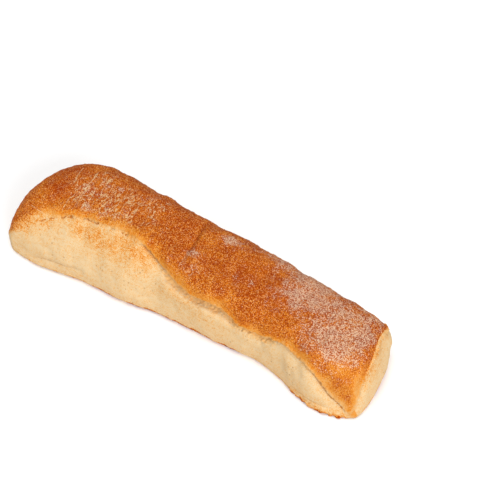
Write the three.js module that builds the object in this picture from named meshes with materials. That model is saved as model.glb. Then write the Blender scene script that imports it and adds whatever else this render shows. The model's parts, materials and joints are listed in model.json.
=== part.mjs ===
// A baguette roll: one solid piece of bread, in millimetres, +Z up, standing on Z = 0.
// +X runs along the roll. -Y is its near side, where the wall is broad and the crust sits back from it.
// The roll is a box with divided faces. Its top face becomes the domed crust, its four walls become
// the sides under the crust's edge, the lip, and its bottom face stays flat.
import * as THREE from "three";
import { mergeVertices } from "three/addons/utils/BufferGeometryUtils.js";

// Driving dimensions
const LENGTH = 255; // nominal, the ends swell a little past it
const WIDTH = 76; // nominal, of the base where it is widest
const HEIGHT = 43; // floor to the top of the crown

// Faces of the box along X, across Y and up Z, and how strongly they crowd to a face's edges
const ALONG = 100;
const ACROSS = 16;
const UP = 12;
const ALONG_CROWDING = 0.4;
const CROWDING = 0.55;

// Form of the crust and the walls
const DOME_POWER = 2.8; // higher is a flatter top with tighter shoulders
const LEFT_POWER = 14; // the same for the fall of the crown to the left end
const RIGHT_POWER = 44; // and to the right end, which is nearly square
const FOOT_RADIUS = 2.4; // round edge where a wall meets the flat base
const GROOVE_DROP = 2.8; // the furrow's height below the lip
const GROOVE_SPREAD = 2.0; // half the furrow's height
const FOLD_HEIGHT = 8.5; // of the fold above the floor
const FOLD_SPREAD = 2.4; // half the fold's height
const RAGGED = 0.6; // how far the lip strays in and out, and up and down
const UNEVEN = 0.45; // height of the crust's and the walls' low swells

// Left and right corners of the plan on each long side, as shares of the length from the left
const CORNER = { near: [0.025, 0.983], far: [0.1, 0.96] };
const END_SWELL = [13, 7.2]; // how far the left and right ends bow out past their corners, in mm
const END_POWER = [2.6, 2.6]; // higher is a straighter end with tighter corners

// Edge of the base: [share of the length, share of the half width]
const NEAR_BASE = [
  [0.025, 0.975],
  [0.08, 1.0],
  [0.13, 0.97],
  [0.23, 0.865],
  [0.34, 0.835],
  [0.445, 0.72],
  [0.55, 0.69],
  [0.61, 0.675],
  [0.66, 0.635],
  [0.72, 0.612],
  [0.805, 0.735],
  [0.88, 0.875],
  [0.94, 0.85],
  [0.983, 0.735],
];
const FAR_BASE = [
  [0.1, 0.92],
  [0.19, 0.98],
  [0.34, 0.9],
  [0.45, 0.875],
  [0.55, 0.9],
  [0.65, 0.865],
  [0.75, 0.785],
  [0.9, 0.735],
  [0.96, 0.65],
];
// Lip of the crust: [share of the length, step back from the base in mm, share of the height]
const NEAR_LIP = [
  [0.025, 3.0, 0.48],
  [0.08, 14.5, 0.73],
  [0.13, 18.0, 0.82],
  [0.25, 20.5, 0.905],
  [0.35, 20.5, 0.92],
  [0.41, 15.5, 0.8],
  [0.465, 8.5, 0.74],
  [0.53, 3.6, 0.71],
  [0.64, 2.8, 0.695],
  [0.66, 1.2, 0.625],
  [0.69, 0.2, 0.61],
  [0.72, 0.0, 0.6],
  [0.76, 2.5, 0.68],
  [0.825, 4.8, 0.7],
  [0.88, 5.6, 0.655],
  [0.93, 5.0, 0.395],
  [0.965, 2.8, 0.2],
  [0.983, 0.8, 0.08],
];
const FAR_LIP = [
  [0.1, -2.5, 0.45],
  [0.5, -0.5, 0.5],
  [0.9, 0.0, 0.52],
  [0.96, 1.0, 0.6],
];
// Lip between the corners of an end: [share across from near to far, step back, share of the height]
const LEFT_LIP = [
  [0.2, 0.5, 0.43],
  [0.4, -3.0, 0.42],
  [0.7, -3.5, 0.42],
];
const RIGHT_LIP = [
  [0.06, 3.0, 0.31],
  [0.12, 5.0, 0.46],
  [0.25, 5.0, 0.62],
  [0.5, 4.8, 0.71],
  [0.8, 5.5, 0.71],
];
// Crown: [share of the length, share of the height]
const CROWN = [
  [0.0, 0.96],
  [0.25, 1.0],
  [0.5, 0.97],
  [0.8, 0.95],
  [1.0, 0.86],
];
// Swell of a wall between base and lip: [share of the length, share of its height near, far]
const SWELL = [
  [0.0, 0.08, 0.08],
  [0.16, 0.18, 0.1],
  [0.35, 0.18, 0.1],
  [0.5, 0.08, 0.1],
  [0.75, 0.07, 0.08],
  [1.0, 0.06, 0.06],
];
// Furrow under the lip, in mm deep: [share of the length, near, far]
const GROOVE = [
  [0.0, 0.0, 0.0],
  [0.12, 0.1, 0.3],
  [0.3, 0.5, 1.0],
  [0.42, 2.2, 1.2],
  [0.7, 2.6, 1.4],
  [0.85, 1.3, 0.8],
  [1.0, 0.2, 0.2],
];

// Fold low on a wall, in mm deep: [share of the length, near, far]
const FOLD = [
  [0.0, 0.1, 0.1],
  [0.09, 1.3, 0.3],
  [0.2, 1.0, 0.9],
  [0.3, 0.0, 1.1],
  [0.55, 0.0, 0.0],
  [0.79, 0.0, 0.4],
  [0.88, 1.1, 1.0],
  [1.0, 0.2, 0.2],
];
// Creases across the crust: [share of the length, slant, mm deep, half width, middle and half span across]
const CREASES = [
  [0.135, -0.16, 0.5, 2.2, 0, 20],
  [0.465, -0.22, 1.1, 2.6, 9, 15],
  [0.765, 0.2, 0.7, 2.4, 8, 14],
  [0.85, -0.27, 0.6, 2.6, -8, 14],
];

const mix = THREE.MathUtils.lerp;
const arch = (t) => 4 * t * (1 - t);
const dome = (t, power) => Math.sqrt(1 - Math.abs(2 * t - 1) ** power);
const bell = (t) => Math.exp(-t * t);
// Shares along a face, crowded towards both of its edges.
const crowd = (t, amount) => t - (amount * Math.sin(2 * Math.PI * t)) / (2 * Math.PI);
// Uneven lines and surfaces of baked dough, from -1 to 1: long waves with shorter ones on them.
const stray = (x, start) => 0.6 * Math.sin(x / 4.1 + start) + 0.4 * Math.sin(x / 2.3 + 2 * start);
const swells = (x, y) => 0.6 * Math.sin(x / 11 + Math.sin(y / 8)) + 0.4 * Math.sin(x / 6 - y / 5);

// Smooth curve through stations: gives the values at a place between the first and the last.
function through(stations) {
  const places = stations.map((s) => s[0]);
  const values = stations.flatMap((s) => s.slice(1));
  const curve = new THREE.CubicInterpolant(places, values, stations[0].length - 1);
  return (place) => [...curve.evaluate(place)];
}

const crownAt = through(CROWN);
const swellAt = through(SWELL);
const grooveAt = through(GROOVE);
const foldAt = through(FOLD);

// One long wall. t runs from its left corner to its right one, and way is -1 near and 1 far.
function longWall(corners, way, baseStations, lipStations) {
  const baseAt = through(baseStations);
  const lipAt = through(lipStations);
  const column = way < 0 ? 0 : 1;
  return (t) => {
    const share = mix(corners[0], corners[1], t);
    const x = (share - 0.5) * LENGTH;
    const y = (way * baseAt(share)[0] * WIDTH) / 2;
    const [evenBack, evenUp] = lipAt(share);
    const back = evenBack + RAGGED * stray(x, 1);
    const up = evenUp + (RAGGED * stray(x, 3)) / HEIGHT;
    const [swell, groove, fold] = [swellAt, grooveAt, foldAt].map((at) => at(share)[column]);
    return { x, y, back, up, swell, groove, fold };
  };
}

const nearWall = longWall(CORNER.near, -1, NEAR_BASE, NEAR_LIP);
const farWall = longWall(CORNER.far, 1, FAR_BASE, FAR_LIP);

// One end wall, between the corners of the long walls. t runs from the near one to the far one.
function endWall(end, lipStations) {
  const near = nearWall(end);
  const far = farWall(end);
  const lipAt = through([[0, near.back, near.up], ...lipStations, [1, far.back, far.up]]);
  return (t) => {
    const [back, up] = lipAt(t);
    const bow = (end ? 1 : -1) * END_SWELL[end] * dome(t, END_POWER[end]);
    const x = mix(near.x, far.x, t) + bow;
    const y = mix(near.y, far.y, t);
    const [swell, groove, fold] = ["swell", "groove", "fold"].map((form) => mix(near[form], far[form], t));
    return { x, y, back, up, swell, groove, fold };
  };
}

const wall = { near: nearWall, far: farWall, left: endWall(0, LEFT_LIP), right: endWall(1, RIGHT_LIP) };

// Direction straight out of the plan: square to the long sides, and fanned round the ends.
function outward(x, y) {
  const reach = (LENGTH - WIDTH) / 2;
  return new THREE.Vector2(x - THREE.MathUtils.clamp(x, -reach, reach), y).normalize();
}

// Point of a wall: t along it, rise from 0 at the floor to 1 at the lip.
function wallPoint(side, t, rise) {
  const { x, y, back, up, swell, groove, fold } = wall[side](t);
  const lipHeight = up * HEIGHT;
  const z = rise * lipHeight;
  const foot = Math.max(0, 1 - z / FOOT_RADIUS);
  const footIn = FOOT_RADIUS * (1 - Math.sqrt(1 - foot * foot));
  const grooveIn = groove * bell((lipHeight - z - GROOVE_DROP) / GROOVE_SPREAD);
  const foldIn = fold * bell((z - FOLD_HEIGHT) / FOLD_SPREAD);
  const bulge = (swell * lipHeight + UNEVEN * swells(x + y, z)) * arch(rise);
  const move = -back * rise + bulge - footIn - grooveIn - foldIn;
  const out = outward(x, y);
  return [x + out.x * move, y + out.y * move, z];
}

// Patch that fills the loop of the four walls at one rise, by blending opposite edges.
function patchPoint(u, v, rise) {
  const near = wallPoint("near", u, rise);
  const far = wallPoint("far", u, rise);
  const left = wallPoint("left", v, rise);
  const right = wallPoint("right", v, rise);
  const [nearLeft, nearRight] = [0, 1].map((end) => wallPoint("near", end, rise));
  const [farLeft, farRight] = [0, 1].map((end) => wallPoint("far", end, rise));
  return [0, 1, 2].map((k) => {
    const nearChord = mix(nearLeft[k], nearRight[k], u);
    const farChord = mix(farLeft[k], farRight[k], u);
    return mix(near[k], far[k], v) + mix(left[k], right[k], u) - mix(nearChord, farChord, v);
  });
}

// How deep the creases cut into the crust at a place.
function creaseDepth(x, y) {
  return CREASES.reduce((sum, [share, slant, deep, halfWidth, middle, halfSpan]) => {
    const across = (x - (share - 0.5) * LENGTH - slant * y) / halfWidth;
    const along = (y - middle) / halfSpan;
    return sum + deep * bell(across) * bell(along ** 2);
  }, 0);
}

// Crust: the patch at the lip, lifted to the crown between its edges.
function crustPoint(u, v) {
  const [x, y, lipHeight] = patchPoint(u, v, 1);
  const lift = dome(v, DOME_POWER) * dome(u, u < 0.5 ? LEFT_POWER : RIGHT_POWER);
  const hollow = UNEVEN * (1 - swells(x, y)) + creaseDepth(x, y);
  return [x, y, mix(lipHeight, crownAt(u)[0] * HEIGHT - hollow, lift)];
}

// Moves one point of the divided box, each coordinate from -1 to 1, to the roll's surface.
function rollPoint(bx, by, bz) {
  const u = crowd((bx + 1) / 2, ALONG_CROWDING);
  const v = crowd((by + 1) / 2, CROWDING);
  const rise = crowd((bz + 1) / 2, CROWDING);
  if (bz === 1) return crustPoint(u, v);
  if (bz === -1) return patchPoint(u, v, 0);
  if (by === -1) return wallPoint("near", u, rise);
  if (by === 1) return wallPoint("far", u, rise);
  return wallPoint(bx === -1 ? "left" : "right", v, rise);
}

function rollGeometry() {
  const box = new THREE.BoxGeometry(2, 2, 2, ALONG, ACROSS, UP);
  box.deleteAttribute("normal");
  box.deleteAttribute("uv");
  const position = box.getAttribute("position");
  for (let i = 0; i < position.count; i++) {
    position.setXYZ(i, ...rollPoint(position.getX(i), position.getY(i), position.getZ(i)));
  }
  const surface = mergeVertices(box, 1e-3);
  // The middle of the plan's box goes over the origin.
  surface.computeBoundingBox();
  const middle = surface.boundingBox.getCenter(new THREE.Vector3());
  surface.translate(-middle.x, -middle.y, 0);
  surface.computeVertexNormals();
  return surface;
}

const bread = new THREE.MeshStandardMaterial({ color: 0xb9712f, roughness: 0.8, metalness: 0 });
const roll = new THREE.Mesh(rollGeometry(), bread);
roll.name = "roll";

const part = new THREE.Group();
part.add(roll);

export default part;
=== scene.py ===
import json
import math
import bmesh
import bpy
import numpy as np
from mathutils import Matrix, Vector, kdtree, noise

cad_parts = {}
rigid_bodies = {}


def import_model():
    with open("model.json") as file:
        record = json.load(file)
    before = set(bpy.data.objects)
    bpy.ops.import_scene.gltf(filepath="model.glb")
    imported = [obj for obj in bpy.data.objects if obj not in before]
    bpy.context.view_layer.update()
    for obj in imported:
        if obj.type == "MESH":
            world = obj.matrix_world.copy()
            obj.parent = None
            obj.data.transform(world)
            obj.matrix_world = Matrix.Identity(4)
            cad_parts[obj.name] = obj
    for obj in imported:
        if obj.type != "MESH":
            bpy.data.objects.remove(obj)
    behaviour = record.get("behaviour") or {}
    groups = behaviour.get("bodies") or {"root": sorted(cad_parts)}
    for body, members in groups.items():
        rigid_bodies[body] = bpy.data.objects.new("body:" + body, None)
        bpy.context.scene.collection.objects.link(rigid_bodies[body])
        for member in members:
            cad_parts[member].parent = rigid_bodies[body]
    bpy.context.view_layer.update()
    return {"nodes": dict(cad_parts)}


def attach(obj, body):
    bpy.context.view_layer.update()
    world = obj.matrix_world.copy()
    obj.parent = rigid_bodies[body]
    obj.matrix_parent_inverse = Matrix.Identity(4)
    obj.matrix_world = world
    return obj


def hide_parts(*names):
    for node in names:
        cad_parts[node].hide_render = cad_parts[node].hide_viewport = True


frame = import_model()
print("frame loaded:", sorted(frame["nodes"]))

perMetre = 1000  # millimetres in a metre


def selectOnly(piece):
    bpy.ops.object.select_all(action="DESELECT")
    piece.select_set(True)
    bpy.context.view_layer.objects.active = piece


def bell(value, width):  # 1 at 0, falling off to both sides
    return np.exp(-(np.asarray(value) / width) ** 2)


def ease(value, low, high):  # 0 at low, 1 at high, soft between
    t = np.clip((np.asarray(value) - low) / (high - low), 0, 1)
    return t * t * (3 - 2 * t)


def fade(value, low, high):  # 1 at low, 0 at high, soft between
    return 1 - ease(value, low, high)


def between(value, low, high, soft):  # 1 from low to high, with soft ends
    return ease(value, low - soft, low + soft) * fade(value, high - soft, high + soft)


def tint(red, green, blue, share=0.8):
    # colour from 0 to 255 as it looks in the studio light, through the usual screen curve
    seen = [c / 255 for c in (red, green, blue)]
    plain = [c / 12.92 if c <= 0.04045 else ((c + 0.055) / 1.055) ** 2.4 for c in seen]
    return tuple(share * c for c in plain) + (1.0,)


class Wire:
    # one socket of a node tree, so that shader maths reads as plain sums
    def __init__(self, tree, socket=None):
        self.tree, self.socket = tree, socket

    def node(self, kind, settings, sockets, out=0):
        made = self.tree.nodes.new("ShaderNode" + kind)
        for key, value in settings.items():
            if key == "stops":
                marks = made.color_ramp.elements
                for stop in value[2:]:
                    marks.new(stop[0])
                for mark, (place, colour) in zip(marks, value):
                    mark.position, mark.color = place, colour
            else:
                setattr(made, key, value)
        for key, value in sockets.items():
            if isinstance(value, Wire):
                self.tree.links.new(value.socket, made.inputs[key])
            else:
                made.inputs[key].default_value = value
        return Wire(self.tree, made.outputs[out])

    def sums(self, operation, first, second):
        return self.node("Math", {"operation": operation}, {0: first, 1: second})

    def __add__(self, other):
        return self.sums("ADD", self, other)

    __radd__ = __add__

    def __sub__(self, other):
        return self.sums("SUBTRACT", self, other)

    def __rsub__(self, other):
        return self.sums("SUBTRACT", other, self)

    def __mul__(self, other):
        return self.sums("MULTIPLY", self, other)

    __rmul__ = __mul__

    def held(self, low, high):  # 0 at low and 1 at high, soft between
        span = {"interpolation_type": "SMOOTHSTEP"}
        return self.node("MapRange", span, {"Value": self, "From Min": low, "From Max": high})

    def under(self, colour, share, way="MIX"):  # this colour with another laid over it
        return self.node("Mix", {"data_type": "RGBA", "blend_type": way}, {0: share, 6: self, 7: colour}, 2)


# studio, in metres
studio = {
    "camera": (0.25905, -0.34219, 0.5524),
    "turn": 33,  # degrees round from the near side
    "tilt": 50,  # degrees above the floor
    "lens": 80,
    "sensor": 36,
    "skyColour": (1, 1, 1, 1),
    "sky": 0.35,
    "key": {"place": (0.0, -0.4, 2.8), "size": 2.6, "power": 70},
    "fill": {"place": (2.1, -1.3, 1.3), "size": 1.4, "power": 46},
    "floorSize": 16.0,
    "floorPlace": (0, 0, -0.0002),
    "floorColour": (0.92, 0.92, 0.92, 1),
    "floorRoughness": 0.9,
}


def addLight(name, lamp):
    bpy.ops.object.light_add(type="AREA", location=lamp["place"])
    light = bpy.context.active_object
    light.name = name
    light.data.size = lamp["size"]
    light.data.energy = lamp["power"]
    light.rotation_euler = (-Vector(lamp["place"])).to_track_quat("-Z", "Y").to_euler()


def buildStudio():
    turn, tilt = math.radians(studio["turn"]), math.radians(studio["tilt"])
    back = Vector((math.sin(turn) * math.cos(tilt), -math.cos(turn) * math.cos(tilt), math.sin(tilt)))
    bpy.ops.object.camera_add(location=studio["camera"])
    camera = bpy.context.active_object
    camera.rotation_euler = (-back).to_track_quat("-Z", "Y").to_euler()
    camera.data.lens = studio["lens"]
    camera.data.sensor_width = studio["sensor"]
    bpy.context.scene.camera = camera
    addLight("keyLight", studio["key"])
    addLight("fillLight", studio["fill"])
    world = bpy.data.worlds.new("softRoom")
    bpy.context.scene.world = world
    world.use_nodes = True
    sky = world.node_tree.nodes["Background"]
    sky.inputs["Color"].default_value = studio["skyColour"]
    sky.inputs["Strength"].default_value = studio["sky"]
    bpy.context.scene.view_settings.view_transform = "Standard"
    bpy.ops.mesh.primitive_plane_add(size=studio["floorSize"], location=studio["floorPlace"])
    floor = bpy.context.active_object
    floor.name = "paleFloor"
    paint = bpy.data.materials.new("paleFloor")
    paint.use_nodes = True
    surface = paint.node_tree.nodes["Principled BSDF"]
    surface.inputs["Base Color"].default_value = studio["floorColour"]
    surface.inputs["Roughness"].default_value = studio["floorRoughness"]
    floor.data.materials.append(paint)


buildStudio()
print("studio set")


# roll: places and sizes in millimetres, x along the roll, y across, z up, and browning from 0 to 1
# stray is how far, scale and shift of a smooth noise, patchy is scale, shift, low and high of one
rollRecipe = {
    "levels": 2,
    "mostTriangles": 194000,
    # smoothing where faces meet more sharply than angle, in radians
    "unfold": {"turns": 10, "angle": 1.4, "above": 2, "factor": 0.5, "repeat": 3},
    "lip": {
        "above": 1,  # corners of the solid over this height are on the lip
        "sharp": 0.85,
        "sharpFrom": (-105, -60),
        "ends": (98, 110),  # how far left of the middle it runs out
        "band": 2.6,  # strip with finer faces
        "bandFrom": -104,
    },
    "hollowBand": {"tall": 6, "from": -36, "to": 64},  # finer faces under the near lip
    # relief
    "baseFlat": (0.3, 3.0),  # heights over which the relief comes in
    "crustStarts": (-0.5, 1.5),  # the same across the lip
    "swell": {"scale": 16, "high": 2.0},  # doughy unevenness
    "pebble": {"scale": 2.6, "high": 0.9},  # blistered crust
    "grain": {"scale": 1.2, "high": 0.45},
    "skin": {"scale": 4.5, "high": 0.8},  # pale sides
    "bead": {"inside": 0.5, "wide": 1.0, "from": (-40, -20), "high": 0.8},  # the lip stands out
    "ragged": {"inside": 0.2, "wide": 1.3, "scale": 2.2, "high": 2.4},  # torn edge of the lip
    # torn hollows under the near lip: from x, to x, how far below, half width, depth, and darkness of the
    # painted shade under the lip
    "hollows": [
        (-33, -12, 0.9, 1.0, 2.8, 1),
        (-13, 40, 2.6, 2.4, 3.6, 0.8),
        (38, 66, 1.8, 1.6, 2.0, 0.8),
        (64, 120, 0.9, 0.8, 0.8, 1),
    ],
    "hollowEnds": 2,
    # painted shade: a dark line just under the near lip, how far below the lip and its half width
    "hollowShade": {"below": 0.8, "wide": 0.8},
    # crumbly skin in the hollow
    "torn": {"from": -14, "to": 70, "ends": 4, "below": 2.6, "wide": 2.2, "scale": 1.5, "high": 3.5},
    # furrow under the far lip
    "furrow": {"below": 1.3, "wide": 1.0, "deep": 1.2, "patchy": (15, 3.7, -0.1, 0.3)},
    # short cracks along the near lip: middle x, half length
    "cracks": [
        (-101, 2), (-96, 1.8), (-89, 1.6), (-85, 1.8), (-73.5, 3), (-67.5, 2.4), (-55, 1.5), (-47, 2),
    ],
    "crackForm": {
        "below": 0.3, "wide": 0.5, "deep": 0.9, "ends": 0.5,
        "stray": (1.3, 2.2, 9.1), "patchy": (1.6, 2.6, -0.6, -0.1),
    },
    # creases over the crust: way points x and y, half width, depth
    "creases": [
        ([(-12, 26), (-8.6, 16), (-7.2, 9.8), (-6.1, 3.9), (-5, -5), (-4, -12)], 1.7, 1.4),
        ([(-19, 18), (-17, 10), (-15.5, 2)], 1.0, 0.5),
        ([(74.1, 16.6), (72.4, 9.1), (70.3, 2.5), (69.7, -3.1)], 0.8, 0.5),
        ([(91.2, 3.6), (93.5, -7.1), (96.9, -17.3)], 0.8, 0.4),
    ],
    # painted shade in the creases: how dark, and its width against the crease
    "creaseShade": {"dark": 0.9, "narrow": 0.8},
    # pale scuffs beside the left end: way points x and y
    "scuffs": [
        [(-91.3, 19.7), (-87.2, -1.6), (-85.2, -16.4)],
        [(-102.9, 20.6), (-99.9, 9.3), (-96.7, -1.7)],
        [(-92.8, -5.3), (-91.8, -12.7), (-91.2, -17.8)],
        [(-115.7, -22), (-108.7, -23.3), (-102.3, -23.4), (-95.6, -23.3)],
    ],
    "scuffForm": {"wide": 0.4, "above": 20},
    # folds low on the near side: way points x and z, half width, depth
    "folds": [
        ([(-106, 6), (-93, 9.4), (-82, 9.8), (-66, 11.3)], 0.9, 1.5),
        ([(84, 5.4), (93, 6.6), (103, 6.4), (114, 6)], 0.7, 0.8),
        ([(88, 4), (96, 4.4), (107, 4.2)], 0.6, 0.5),
        ([(84, 18.3), (85.4, 18.3)], 0.7, 1.0),
    ],
    # painted shade in the folds: how dark, and its width against the fold
    "foldShade": {"dark": 0.7, "narrow": 0.7},
    # shallow dents and swellings of the sides: near -1 or far 1, x, z, half length, half height, depth
    "dents": [
        (-1, -58, 17, 9, 12, 1.6), (-1, -20, 14, 22, 7, 0.8), (-1, 83.5, 22, 5.5, 11, -1.7),
        (1, -72, 14, 14, 6, 1.0), (1, -22, 16, 18, 6, -1.2), (1, 34, 13, 12, 7, 1.1),
        (1, 86, 16, 16, 6, -0.9),
    ],
    # thin ragged foot on the near side, and its browning at the foot and over it
    "foot": {
        "from": 84, "to": 122, "ends": 3, "middle": 0.6, "high": 2.6, "out": 1.3,
        "patchy": (3, 5.5, -0.7, 0.5), "bakeEnds": 4, "bake": 0.5, "over": 0.14, "overHigh": 3,
    },
    # browning
    "top": 0.785,
    "side": 0.02,
    # browned left end: x at height z, slant, width of the change, and how it fades towards the base
    "leftEnd": {
        "x": -113.5, "z": 35, "slant": 0.25, "wide": 6, "wider": 4, "widerFrom": (8, 30),
        "most": 1.2, "less": 2.4, "lessFrom": (2, 27), "stray": (5, 13, 3.3),
    },
    # width of the change from crust to side, wider on the left and widest at the left end
    "edge": {"wide": 0.6, "left": 0.8, "leftX": (-45, -25), "end": 5, "endX": (-108, -94), "most": 6},
    "scallop": {"from": -40, "to": 62, "ends": 5, "stray": (0.7, 2.2, 6.1)},
    "frayed": {"least": 0.35, "more": 0.65, "moreX": (-108, -94)},
    # pale margin inside the lip at both ends
    "margin": {"right": 2.4, "rightX": (112, 119), "nearY": (-24, 0), "farY": (16, 28)},
    "leftMargin": {"wide": 5, "x": (-108, -92)},
    # the crust runs down the near right corner
    "tip": {"from": (122.5, -27.7, 10), "to": (126.2, -27.5, 2.8), "wide": 2.0},
    # paler, smoother crust by the lip, less of it at the right end and on the left
    "glow": {
        "paler": 0.29, "wide": 11, "stray": (2, 9, 4.2), "smooth": 0.8,
        "right": 0.8, "rightX": (108, 118), "rightY": (-22, -8), "left": 0.05, "leftX": (-60, -35),
    },
    "lipEdge": {"paler": 0.16, "inside": 0.4, "wide": 0.9},
    "underLip": {"bake": 0.1, "wide": 3},
    # painted shade: the sides a little browner and darker towards the base
    "lowShade": {"bake": 0.05, "high": (3, 14)},
    # browned rim of the base, most in the middle and at the right end
    "rim": {
        "bake": 0.85, "high": (2.4, 4), "stray": (1, 2.5, 1.7), "patchy": (7, 8.3, -0.6, 0.3), "below": 5,
        "least": 0.35, "middle": 0.65, "middleX": (-60, 50, 12), "right": 0.3, "rightX": (118, 124),
    },
    # darker and paler browning of the crust: x, y, half length, half width, amount
    "patches": [
        (-104, -5, 7, 7, 0.16), (-108, 15, 14, 9, 0.12), (-30, 19, 22, 8, 0.08), (35, 0, 26, 10, 0.1),
        (-20, 6, 14, 9, 0.05), (62, -6, 12, 8, 0.05), (98, -16, 12, 7, 0.1), (113, -23, 13, 10, -0.2),
        (-50, -10, 24, 6, -0.06), (-100, -18, 10, 7, -0.06), (-80, 8, 20, 14, 0.06),
        (60, 4, 22, 14, 0.06), (96, 0, 24, 18, -0.04),
    ],
    # golden toasting of the pale sides: x, y, z, half sizes, amount
    "toast": [
        (-70, -20, 34, 19, 6, 5, 0.32), (-38, -16, 35, 18, 7, 7, 0.28), (-24, -17, 31, 8, 5, 6, 0.12),
        (-50, -24, 28, 30, 8, 8, 0.14), (10, -26, 22, 34, 8, 8, 0.12), (122, 4, 32, 7, 22, 7, 0.17),
        (125, -10, 24, 5, 12, 8, 0.2), (20, 38, 20, 90, 8, 6, 0.15), (-62, 34, 26, 22, 8, 7, 0.2),
        (66, 35, 25, 26, 8, 6, 0.22), (4, 36, 25, 16, 8, 5, 0.14), (-100, -26, 32, 9, 8, 6, 0.22),
        (-111, -30, 26, 8, 7, 10, 0.26),
    ],
    # thin streaks of flour: x, y, half length, half width, amount
    "streaks": [
        (-84, 6, 14, 17, 0.75), (-62, 0, 18, 14, 0.55), (-46, 14, 16, 9, 0.4), (-30, -2, 14, 9, 0.25),
    ],
    # flour on the crust, given in the same way
    "flour": [
        (86, 6, 26, 22, 0.6), (72, 14, 16, 14, 0.35), (110, 8, 13, 18, 0.6), (102, -15, 18, 11, 0.85),
        (62, 2, 16, 12, 0.35), (46, 22, 26, 7, 0.6), (11, 18, 7, 5, 1.1), (-2, -2, 5, 4, 0.7),
        (28, -6, 20, 10, 0.15), (90, 25, 34, 8, 0.15), (2, -13, 15, 6, 0.42), (-84, 6, 12, 16, 0.45),
        (-68.5, 14, 2.5, 2, 1), (-78.5, -9, 4, 3, 0.5), (-62, -5, 14, 6, 0.42), (-46, 18, 12, 6, 0.5),
        (-40, -2, 14, 9, 0.15), (-58, 10, 8, 5, 0.2), (-24, 20, 12, 8, -0.35),
    ],
    "flourStarts": (0.5, 5),  # from the lip
    "flourSmooth": 0.35,  # less grain under the flour
    "smooth": [(114, -23, 15, 11, 0.6)],  # less grain at the right tip, given in the same way
    # colours, the first list from dough to dark crust
    "colours": {
        "browning": [
            (0.0, tint(235, 205, 160)), (0.18, tint(236, 191, 130)), (0.36, tint(233, 169, 94)),
            (0.5, tint(231, 148, 48)), (0.66, tint(216, 116, 24)), (0.82, tint(190, 84, 10)),
            (1.0, tint(156, 56, 2)),
        ],
        # pale specks over the crust: dust, partly painted glints
        "speck": tint(238, 180, 126),
        "flour": tint(238, 219, 190),
        "streak": tint(240, 204, 150),
        # painted shade, multiplied over cracks, creases, folds and under the near lip
        "line": (0.6, 0.38, 0.2, 1),
        "pore": tint(190, 140, 85),
        # torn crumb, warmer and brighter than the dough as painted warm light in the hollow's shade
        "torn": tint(238, 190, 122, 0.95),
        "under": [(0.25, tint(212, 156, 92)), (0.75, tint(174, 106, 50))],
    },
    # clouds of the finish: size, detail, roughness, stretch
    "clouds": {
        "fine": (0.5, 1, 0.5, (1, 1, 1)),
        "grit": (0.85, 2, 0.6, (1, 1, 1)),
        "small": (2.0, 2.5, 0.6, (1, 1, 1)),
        "patch": (7, 3, 0.5, (1, 1, 1)),
        "broad": (26, 2, 0.5, (1, 1, 1)),
        "drawn": (1.5, 2, 0.5, (0.12, 1, 1)),  # dough drawn out along the roll
        "brushed": (3.4, 2.5, 0.5, (1, 0.45, 1)),  # flour brushed across it
    },
    "dotSize": 0.42,
    "poresPerMetre": 360,
    # how much of each cloud goes into what
    "mixes": {
        "fray": {"small": 1.4, "fine": 0.6},
        "grain": {"fine": 0.5, "grit": 0.2},
        "grainPatches": {"broad": 2},
        "mottle": {"patch": 0.45, "broad": 0.45},
        "toast": {"small": 1.4, "fine": 0.8, "patch": 1},
        "dough": {"fine": 1.1, "small": 0.35, "drawn": 0.35},
        "torn": {"small": 1.5},
        "flour": {"small": 0.8, "patch": 1.2, "brushed": 0.9},
        "streaks": {"patch": 1.2, "small": 0.6},
        "dust": {"grit": 1.2},
        "line": {"small": 0.8},
        "under": {"patch": 0.8, "broad": 0.6, "fine": 0.7, "grit": 0.5},
    },
    # values at which a mask is 0 and 1
    "masks": {
        "crust": (-0.7, 0.7),
        "dot": (0.62, 0.35),
        "darkDots": (0.6, 1),
        "paleDots": (0.72, 0.88),
        "pore": (0.26, 0.12),
        "porous": (-0.03, 0.15),
        "torn": (0.35, 0.9),
        "cover": (0.05, 1),
        "curl": (0.04, 0.01),
        "streaks": (0.05, 0.5),
        "streakGrit": (0.4, 0.8),
        "flourGrit": (0.44, 0.74),
        "line": (0.2, 1),
        "base": (0.0005, 0.0001),  # metres above the floor
    },
    # strength of what is laid over the browning
    "shares": {
        "dots": 0.6, "darkDots": 0.5, "leastToast": 0.06, "speck": 0.85, "pore": 0.7, "tornPores": 0.4,
        "torn": 0.8, "scuff": 1.2, "curl": 0.8, "curlDots": 0.4, "streak": 0.7, "cover": 0.6,
        "flourDots": 0.8, "veil": 0.04, "loose": 0.58, "line": 0.8,
    },
    "rough": {"side": 0.85, "crust": 0.15, "flour": 0.1},
    "bump": {
        "strength": 0.5, "distance": 0.6, "fine": 0.4, "fineCrust": 0.6, "small": 0.5, "flour": 0.15,
        "drawn": 0.4, "pores": 0.4,
    },
    "shine": 0.06,
}


def addField(piece, name, values):
    held = piece.data.attributes.get(name) or piece.data.attributes.new(name, "FLOAT", "POINT")
    held.data.foreach_set("value", np.asarray(values, np.float32))


def readField(piece, name):
    values = np.empty(len(piece.data.vertices), np.float32)
    piece.data.attributes[name].data.foreach_get("value", values)
    return values.astype(float)


def places(piece):
    flat = np.empty(len(piece.data.vertices) * 3, np.float32)
    piece.data.vertices.foreach_get("co", flat)
    return flat.reshape(-1, 3).astype(float) * perMetre


def lipAt(x):  # 1 where there is a lip, 0 at the left end
    return fade(-x, *rollRecipe["lip"]["ends"])


def wander(spots, far, scale, shift):  # smooth noise from about -far to far at each place
    return far * np.array([noise.noise(Vector(spot) / scale + Vector((shift, 0, 0))) for spot in spots])


def patchy(spots, scale, shift, low, high):  # soft patches from 0 to 1
    return ease(wander(spots, 1, scale, shift), low, high)


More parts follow.
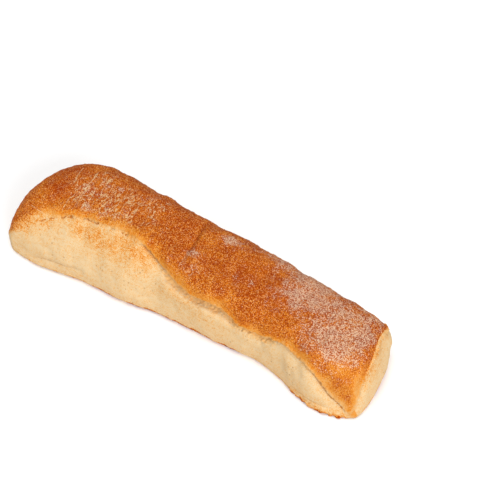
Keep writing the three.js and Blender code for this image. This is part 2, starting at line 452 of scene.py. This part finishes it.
def selectParts(piece, kind, chosen):  # selects faces or points, and stays in edit mode
    bpy.ops.object.mode_set(mode="EDIT")
    bpy.ops.mesh.select_all(action="DESELECT")
    bpy.ops.object.mode_set(mode="OBJECT")
    getattr(piece.data, kind).foreach_set("select", chosen)
    bpy.ops.object.mode_set(mode="EDIT")


def applyModifier(piece, modifier):
    selectOnly(piece)
    bpy.ops.object.modifier_apply(modifier=modifier.name)


leastWeight = 0.004  # points with less than this aren't pushed


def push(piece, weight, high, scale=None):
    # moves the surface out by high millimetres where weight is 1, through clouds where scale is given
    group = piece.vertex_groups.new(name="push")
    weight = np.clip(weight, 0, 1)
    for index in np.nonzero(weight > leastWeight)[0]:
        group.add([int(index)], float(weight[index]), "REPLACE")
    move = piece.modifiers.new("push", "DISPLACE")
    move.vertex_group = group.name
    move.strength = high / perMetre
    move.mid_level = 0.0
    if scale:
        clouds = bpy.data.textures.new("push", "CLOUDS")
        clouds.noise_scale = scale / perMetre
        clouds.noise_depth = 3
        move.texture = clouds
        move.texture_coords = "LOCAL"
        move.mid_level = 0.5
    applyModifier(piece, move)
    piece.vertex_groups.clear()


def toRoute(points, route):
    # distance of each flat point from a line through way points, and its share along it
    best = np.full(len(points), np.inf)
    share = np.zeros(len(points))
    for k, (start, end) in enumerate(zip(route[:-1], route[1:])):
        start, way = np.array(start), np.array(end) - np.array(start)
        t = np.clip(((points - start) @ way) / (way @ way), 0, 1)
        far = np.linalg.norm(points - start - t[:, None] * way, axis=1)
        share = np.where(far < best, (k + t) / (len(route) - 1), share)
        best = np.minimum(best, far)
    return best, share


def along(points, route, wide):  # 1 on a route, fading at its sides and ends
    far, share = toRoute(points, route)
    return bell(far, wide) * np.sqrt(np.clip(4 * share * (1 - share), 0, 1))


spokes = 6  # edges that meet at a point of the solid, apart from its corners
mostSteps = 150  # edges from one corner to the next at most
onLip = 0.05  # the side field is within this of 0 on the lip


def straightOn(edge, vertex):
    # the edge that goes straight on past a point
    ring, face = [edge], edge.link_faces[0]
    while len(ring) < spokes:
        ring.append(next(e for e in face.edges if vertex in e.verts and e is not ring[-1]))
        face = next(f for f in ring[-1].link_faces if f is not face)
    return ring[spokes // 2]


def markSides(piece):
    # crust 1, its lip 0, walls and base -1: the lip runs straight between the solid's upper corners
    lipForm = rollRecipe["lip"]
    mesh = bmesh.new()
    mesh.from_mesh(piece.data)
    crease = mesh.edges.layers.float.new("crease_edge")
    corners = [v for v in mesh.verts if len(v.link_edges) != spokes]
    upper = [v for v in corners if v.co.z * perMetre > lipForm["above"]]
    lip = set()
    for corner in upper:
        for edge in corner.link_edges:
            here, run = edge.other_vert(corner), [edge]
            while here not in corners and len(run) < mostSteps:
                run.append(straightOn(run[-1], here))
                here = run[-1].other_vert(here)
            if here in upper:
                lip.update(run)
    top = max(mesh.faces, key=lambda f: f.calc_center_median().z)
    crust, todo = {top}, [top]
    while todo:
        for edge in todo.pop().edges:
            for face in edge.link_faces:
                if edge not in lip and face not in crust:
                    crust.add(face)
                    todo.append(face)
    side = np.full(len(mesh.verts), -1.0)
    side[[v.index for face in crust for v in face.verts]] = 1
    side[[v.index for edge in lip for v in edge.verts]] = 0
    for edge in lip:
        edge.seam = True
        edge[crease] = lipForm["sharp"] * float(ease(edge.verts[0].co.x * perMetre, *lipForm["sharpFrom"]))
    print("corners", len(corners), "lip edges", len(lip), "crust faces", len(crust))
    mesh.to_mesh(piece.data)
    mesh.free()
    addField(piece, "side", side)


def lipGap(piece):
    # millimetres from the lip, plus on the crust and minus below it
    spots, side = places(piece), readField(piece, "side")
    ends = np.empty(len(piece.data.edges) * 2, np.int32)
    piece.data.edges.foreach_get("vertices", ends)
    ends = ends.reshape(-1, 2)
    lip = ends[(np.abs(side[ends]) < onLip).all(1)]
    line = [spots[a] + t * (spots[b] - spots[a]) for a, b in lip for t in (0, 0.25, 0.5, 0.75)]
    tree = kdtree.KDTree(len(line))
    for k, spot in enumerate(line):
        tree.insert(spot, k)
    tree.balance()
    far = np.array([tree.find(spot)[2] for spot in spots])
    return np.where(side < 0, -far, far)


def faceMeans(piece, values):  # mean of a value over the corners of each face
    faces = piece.data.polygons
    corners = np.empty(len(piece.data.loops), np.int32)
    piece.data.loops.foreach_get("vertex_index", corners)
    count = np.empty(len(faces), np.int32)
    faces.foreach_get("loop_total", count)
    first = np.concatenate(([0], np.cumsum(count)[:-1]))
    return np.add.reduceat(np.asarray(values)[corners], first) / count


def countTriangles(piece):
    return sum(len(face.vertices) - 2 for face in piece.data.polygons)


def buildRoll():
    piece = bpy.data.objects.new("bakedRoll", frame["nodes"]["roll"].data.copy())
    bpy.context.collection.objects.link(piece)
    piece.data.materials.clear()
    selectOnly(piece)
    bpy.ops.mesh.customdata_custom_splitnormals_clear()
    bpy.context.tool_settings.mesh_select_mode = (False, False, True)
    bpy.ops.object.mode_set(mode="EDIT")
    bpy.ops.mesh.select_all(action="SELECT")
    bpy.ops.mesh.remove_doubles(threshold=1e-6)
    bpy.ops.object.mode_set(mode="OBJECT")
    markSides(piece)
    bpy.ops.object.mode_set(mode="EDIT")
    bpy.ops.mesh.select_all(action="SELECT")
    bpy.ops.mesh.tris_convert_to_quads(
        face_threshold=math.pi, shape_threshold=math.pi, topology_influence=1.5, seam=True)
    bpy.ops.object.mode_set(mode="OBJECT")
    finer = piece.modifiers.new("finer", "SUBSURF")
    finer.levels = finer.render_levels = rollRecipe["levels"]
    applyModifier(piece, finer)
    # finer faces along the lip and under the near lip
    gap, spots = faceMeans(piece, lipGap(piece)), places(piece)
    x, y = faceMeans(piece, spots[:, 0]), faceMeans(piece, spots[:, 1])
    lip, hollow = rollRecipe["lip"], rollRecipe["hollowBand"]
    close = (np.abs(gap) < lip["band"]) & (x > lip["bandFrom"])
    close |= (gap < 0) & (gap > -hollow["tall"]) & (y < 0) & (x > hollow["from"]) & (x < hollow["to"])
    selectParts(piece, "polygons", close)
    bpy.ops.mesh.subdivide(number_cuts=1)
    bpy.ops.object.mode_set(mode="OBJECT")
    bpy.ops.object.shade_smooth()
    return piece


def bakeEdge(piece, gap):
    # crust or side: distance from the lip over the width of the change, plus on the crust
    spots = places(piece)
    x, y, z = spots.T
    left, edge, tip = rollRecipe["leftEnd"], rollRecipe["edge"], rollRecipe["tip"]
    leftEnd = left["x"] - left["slant"] * (left["z"] - z) - x
    leftEnd = leftEnd / (left["wide"] + left["wider"] * ease(z, *left["widerFrom"]))
    lower = fade(z + wander(spots, *left["stray"]), *left["lessFrom"])
    leftEnd = np.minimum(leftEnd, left["most"]) - left["less"] * lower
    width = edge["wide"] + edge["left"] * fade(x, *edge["leftX"]) + edge["end"] * fade(x, *edge["endX"])
    margin, leftMargin = rollRecipe["margin"], rollRecipe["leftMargin"]
    right = ease(x, *margin["rightX"]) * ease(y, *margin["nearY"]) * fade(y, *margin["farY"])
    inward = margin["right"] * right + leftMargin["wide"] * fade(x, *leftMargin["x"])
    wave = rollRecipe["scallop"]
    scallop = wander(spots, *wave["stray"]) * between(x, wave["from"], wave["to"], wave["ends"])
    crust = np.maximum((gap - inward + scallop) / width, leftEnd)
    start, end = np.array(tip["from"]), np.array(tip["to"])
    share = np.clip(((spots - start) @ (end - start)) / ((end - start) @ (end - start)), 0, 1)
    toTip = np.linalg.norm(spots - start - share[:, None] * (end - start), axis=1)
    crust = np.clip(np.maximum(crust, tip["wide"] - toTip), -edge["most"], edge["most"])
    addField(piece, "crustEdge", crust)
    frayed = rollRecipe["frayed"]
    addField(piece, "frayed", frayed["least"] + frayed["more"] * ease(x, *frayed["moreX"]))


def bakeColour(piece, gap):
    # browning of crust and sides, painted shade low on the sides, flour, and how grained the crust is
    spots = places(piece)
    x, y, z = spots.T
    lipped = lipAt(x)

    def blobs(name):
        listed = rollRecipe[name]
        return sum(much * bell(x - cx, long) * bell(y - cy, wide) for cx, cy, long, wide, much in listed)

    band, edge = rollRecipe["glow"], rollRecipe["lipEdge"]
    glow = fade(gap + wander(spots, *band["stray"]), 0, band["wide"])
    glow *= lipped * (1 - band["right"] * ease(x, *band["rightX"]) * ease(y, *band["rightY"]))
    glow *= 1 - band["left"] * fade(x, *band["leftX"])
    top = rollRecipe["top"] + blobs("patches") - band["paler"] * glow
    addField(piece, "topBake", top - edge["paler"] * bell(gap - edge["inside"], edge["wide"]) * lipped)
    under, low, rim, foot = (rollRecipe[name] for name in ("underLip", "lowShade", "rim", "foot"))
    side = rollRecipe["side"] + under["bake"] * bell(gap, under["wide"])
    # painted shade, darker towards the base
    side += low["bake"] * fade(z, *low["high"])
    for cx, cy, cz, sx, sy, sz, much in rollRecipe["toast"]:
        side += much * bell(x - cx, sx) * bell(y - cy, sy) * bell(z - cz, sz)
    browned = rim["least"] + rim["middle"] * between(x, *rim["middleX"])
    browned += rim["right"] * ease(x, *rim["rightX"])
    browned *= patchy(spots, *rim["patchy"]) * (gap < -rim["below"])
    side += rim["bake"] * fade(z + wander(spots, *rim["stray"]), *rim["high"]) * browned
    footBake = foot["bake"] * bell(z, foot["high"])
    footBake += foot["over"] * bell(z, foot["overHigh"] * foot["high"])
    side += footBake * between(x, foot["from"], foot["to"], foot["bakeEnds"]) * (y < 0) * lipped
    addField(piece, "sideBake", side)
    flour = blobs("flour") * ease(gap, *rollRecipe["flourStarts"])
    addField(piece, "flour", flour)
    addField(piece, "streaks", blobs("streaks"))
    grained = (1 - band["smooth"] * glow) * (1 - rollRecipe["flourSmooth"] * np.clip(flour, 0, 1))
    addField(piece, "grained", grained * (1 - blobs("smooth")))


def bakeMarks(piece, gap):
    # torn hollow, cracks, painted shade lines in cracks, creases, folds and under the near lip, and pale
    # scuffs
    spots = places(piece)
    x, y, z = spots.T
    near = (y < 0) * lipAt(x)
    flat, upright = spots[:, :2], spots[:, ::2]
    torn, form = rollRecipe["torn"], rollRecipe["crackForm"]
    hollow = bell(gap + torn["below"], torn["wide"]) * between(x, torn["from"], torn["to"], torn["ends"])
    addField(piece, "torn", hollow * near * (gap < 0))
    crack = sum(between(x, mid - half, mid + half, form["ends"]) for mid, half in rollRecipe["cracks"])
    crack = np.clip(crack, 0, 1) * bell(gap + form["below"] + wander(spots, *form["stray"]), form["wide"])
    crack = crack * patchy(spots, *form["patchy"]) * near
    addField(piece, "crack", crack)
    # painted shade lines in the cracks and creases
    line, drawn = crack, rollRecipe["creaseShade"]
    for route, wide, deep in rollRecipe["creases"]:
        much = drawn["dark"] * min(deep, 1)
        line = np.maximum(line, much * along(flat, route, drawn["narrow"] * wide) * (gap > 0))
    # painted shade lines in the folds
    drawn = rollRecipe["foldShade"]
    for route, wide, _ in rollRecipe["folds"]:
        fold = drawn["dark"] * along(upright, route, drawn["narrow"] * wide)
        line = np.maximum(line, fold * near * (gap < 0))
    # painted shade just under the near lip, over the hollows
    drawn, ends = rollRecipe["hollowShade"], rollRecipe["hollowEnds"]
    for start, end, *_, dark in rollRecipe["hollows"]:
        shade = dark * bell(gap + drawn["below"], drawn["wide"]) * between(x, start, end, ends)
        line = np.maximum(line, shade * near)
    addField(piece, "line", line)
    form = rollRecipe["scuffForm"]
    scuffs = [along(flat, route, form["wide"]) for route in rollRecipe["scuffs"]]
    addField(piece, "scuff", np.max(scuffs, axis=0) * (z > form["above"]))


def unfold(piece):
    # smooths the few places of the relief that fold over themselves, apart from the rim of the base
    form = rollRecipe["unfold"]
    bpy.context.tool_settings.mesh_select_mode = (True, False, False)
    for turn in range(form["turns"]):
        mesh = bmesh.new()
        mesh.from_mesh(piece.data)
        folded = np.zeros(len(mesh.verts), bool)
        for edge in mesh.edges:
            if edge.calc_face_angle(0) > form["angle"] and edge.verts[0].co.z * perMetre > form["above"]:
                folded[[v.index for v in edge.verts]] = True
        mesh.free()
        selectOnly(piece)
        selectParts(piece, "vertices", folded)
        bpy.ops.mesh.select_more()
        bpy.ops.mesh.vertices_smooth(factor=form["factor"], repeat=form["repeat"])
        bpy.ops.object.mode_set(mode="OBJECT")
        print("unfolding, turn", turn + 1, "points", folded.sum())


def reliefRoll(piece, gap):
    spots = places(piece)
    x, y, z = spots.T
    lipped = lipAt(x)
    near = (y < 0) * lipped
    flat, upright = spots[:, :2], spots[:, ::2]
    free = ease(z, *rollRecipe["baseFlat"])
    crust = ease(gap, *rollRecipe["crustStarts"])
    wall = free * (1 - crust)
    bead, ragged, torn, furrow, foot = (
        rollRecipe[name] for name in ("bead", "ragged", "torn", "furrow", "foot"))
    for name, weight in (("swell", free), ("pebble", crust), ("grain", crust), ("skin", wall)):
        push(piece, weight, rollRecipe[name]["high"], rollRecipe[name]["scale"])
    push(piece, bell(gap - bead["inside"], bead["wide"]) * lipped * ease(x, *bead["from"]), bead["high"])
    push(piece, bell(gap - ragged["inside"], ragged["wide"]) * lipped, ragged["high"], ragged["scale"])
    for start, end, below, wide, deep, _ in rollRecipe["hollows"]:
        hollow = bell(gap + below, wide) * between(x, start, end, rollRecipe["hollowEnds"])
        push(piece, hollow * near, -deep)
    push(piece, readField(piece, "torn"), torn["high"], torn["scale"])
    far = patchy(spots, *furrow["patchy"]) * (y > 0) * lipped
    push(piece, bell(gap + furrow["below"], furrow["wide"]) * far, -furrow["deep"])
    push(piece, readField(piece, "crack"), -rollRecipe["crackForm"]["deep"])
    for route, wide, deep in rollRecipe["creases"]:
        push(piece, along(flat, route, wide) * crust, -deep)
    for route, wide, deep in rollRecipe["folds"]:
        push(piece, along(upright, route, wide) * near * wall, -deep)
    for way, cx, cz, long, tall, deep in rollRecipe["dents"]:
        push(piece, bell(x - cx, long) * bell(z - cz, tall) * (y * way > 0) * lipped * wall, -deep)
    crumbs = bell(z - foot["middle"], foot["high"]) * between(x, foot["from"], foot["to"], foot["ends"])
    push(piece, crumbs * near * patchy(spots, *foot["patchy"]), foot["out"])
    # nothing goes below the floor
    low = np.maximum(places(piece), [-np.inf, -np.inf, 0]) / perMetre
    piece.data.vertices.foreach_set("co", low.astype(np.float32).ravel())
    piece.data.update()
    triangles = countTriangles(piece)
    thin = piece.modifiers.new("thin", "DECIMATE")
    thin.ratio = min(1, rollRecipe["mostTriangles"] / triangles)
    applyModifier(piece, thin)
    unfold(piece)
    print("triangles", triangles, "thinned to", countTriangles(piece))


def rollFinish():
    paint = bpy.data.materials.new("bakedCrust")
    paint.use_nodes = True
    tree = paint.node_tree
    surface = tree.nodes["Principled BSDF"]
    wire = Wire(tree)
    at = wire.node("TexCoord", {}, {}, 3)  # object coordinates
    colours, masks, shares = rollRecipe["colours"], rollRecipe["masks"], rollRecipe["shares"]

    def field(name):
        return wire.node("Attribute", {"attribute_name": name}, {}, 2)

    def cloud(size, detail, rough, stretch):  # noise from about -0.3 to 0.3
        spread = wire.node("VectorMath", {"operation": "MULTIPLY"}, {0: at, 1: stretch})
        sockets = {"Vector": spread, "Scale": perMetre / size, "Detail": detail, "Roughness": rough}
        return wire.node("TexNoise", {}, sockets) - 0.5

    clouds = {name: cloud(*values) for name, values in rollRecipe["clouds"].items()}

    def mixed(name):  # clouds added up in the amounts of one mix
        parts = [clouds[kind] * much for kind, much in rollRecipe["mixes"][name].items()]
        return sum(parts[1:], parts[0])

    # small scattered dots, and a chance from 0 to 1 for each
    far = wire.node("TexVoronoi", {}, {"Vector": at, "Scale": perMetre / rollRecipe["dotSize"]})
    middle = Wire(tree, far.socket.node.outputs["Position"])
    dot, chance = far.held(*masks["dot"]), wire.node("TexWhiteNoise", {}, {"Vector": middle})
    # browning of crust and sides
    crust = (field("crustEdge") + mixed("fray") * field("frayed")).held(*masks["crust"])
    dark = chance.held(*masks["darkDots"])
    grain = (chance - 0.5) * shares["dots"] + dark * shares["darkDots"] + mixed("grain")
    grain = grain * (1 + mixed("grainPatches"))
    top = field("topBake") + grain * field("grained") + mixed("mottle")
    toast = field("sideBake")
    side = toast + mixed("toast") * (toast + shares["leastToast"]) + mixed("dough")
    colour = wire.node("ValToRGB", {"stops": colours["browning"]}, {0: side + (top - side) * crust})
    # thin dust and painted glints in fine pale specks over the crust
    speck = dot * (1 - chance).held(*masks["paleDots"]) * crust * field("grained")
    colour = colour.under(colours["speck"], speck * shares["speck"])
    # fine pores in the sides, and the torn hollow, its crumb partly painted warm light in the shade under
    # the lip
    pores = wire.node("TexVoronoi", {}, {"Vector": at, "Scale": rollRecipe["poresPerMetre"]})
    porous = (clouds["patch"] + field("torn") * shares["tornPores"]).held(*masks["porous"])
    pores = pores.held(*masks["pore"]) * porous * (1 - crust)
    colour = colour.under(colours["pore"], pores * shares["pore"])
    torn = (field("torn") + mixed("torn")).held(*masks["torn"]) * (1 - crust)
    colour = colour.under(colours["torn"], torn * shares["torn"])
    # flour in thin curled streaks and along the scuffs
    curl = wire.node("Math", {"operation": "ABSOLUTE"}, {0: clouds["brushed"]}).held(*masks["curl"])
    curl = curl * (field("streaks") + mixed("streaks")).held(*masks["streaks"])
    curl = curl + field("scuff") * shares["scuff"]
    curl = curl * shares["curl"] + mixed("dust") + (0.5 - chance) * shares["curlDots"]
    streak = curl.held(*masks["streakGrit"]) * crust
    colour = colour.under(colours["streak"], streak * shares["streak"])
    # flour in gritty patches
    cover = (field("flour") + mixed("flour")).held(*masks["cover"])
    loose = cover * shares["cover"] + mixed("dust") + (0.5 - chance) * shares["flourDots"]
    flour = (cover * shares["veil"] + loose.held(*masks["flourGrit"]) * shares["loose"]) * crust
    colour = colour.under(colours["flour"], flour)
    # browned base
    base = wire.node("ValToRGB", {"stops": colours["under"]}, {0: mixed("under") + 0.5})
    lowest = wire.node("SeparateXYZ", {}, {0: at}, 2).held(*masks["base"])
    colour = colour.under(base, lowest)
    # painted shade: dark lines in the cracks, creases, folds and hollows
    line = (field("line") + mixed("line")).held(*masks["line"])
    colour = colour.under(colours["line"], line * shares["line"], "MULTIPLY")
    tree.links.new(colour.socket, surface.inputs["Base Color"])
    matt, relief = rollRecipe["rough"], rollRecipe["bump"]
    rough = matt["side"] - crust * matt["crust"] + flour * matt["flour"]
    tree.links.new(rough.socket, surface.inputs["Roughness"])
    height = clouds["fine"] * (relief["fine"] + crust * relief["fineCrust"])
    height = height + clouds["small"] * relief["small"] + flour * relief["flour"]
    height = height + clouds["drawn"] * (1 - crust) * relief["drawn"] - pores * relief["pores"]
    sockets = {"Height": height, "Strength": relief["strength"], "Distance": relief["distance"] / perMetre}
    tree.links.new(wire.node("Bump", {}, sockets).socket, surface.inputs["Normal"])
    surface.inputs["Specular IOR Level"].default_value = rollRecipe["shine"]
    return paint


roll = buildRoll()
rollGap = lipGap(roll)
bakeEdge(roll, rollGap)
bakeColour(roll, rollGap)
bakeMarks(roll, rollGap)
print("roll browned:", len(roll.data.polygons), "faces")
reliefRoll(roll, rollGap)
roll.data.materials.append(rollFinish())
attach(roll, "root")
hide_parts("roll")
print("roll shaped:", len(roll.data.polygons), "faces")
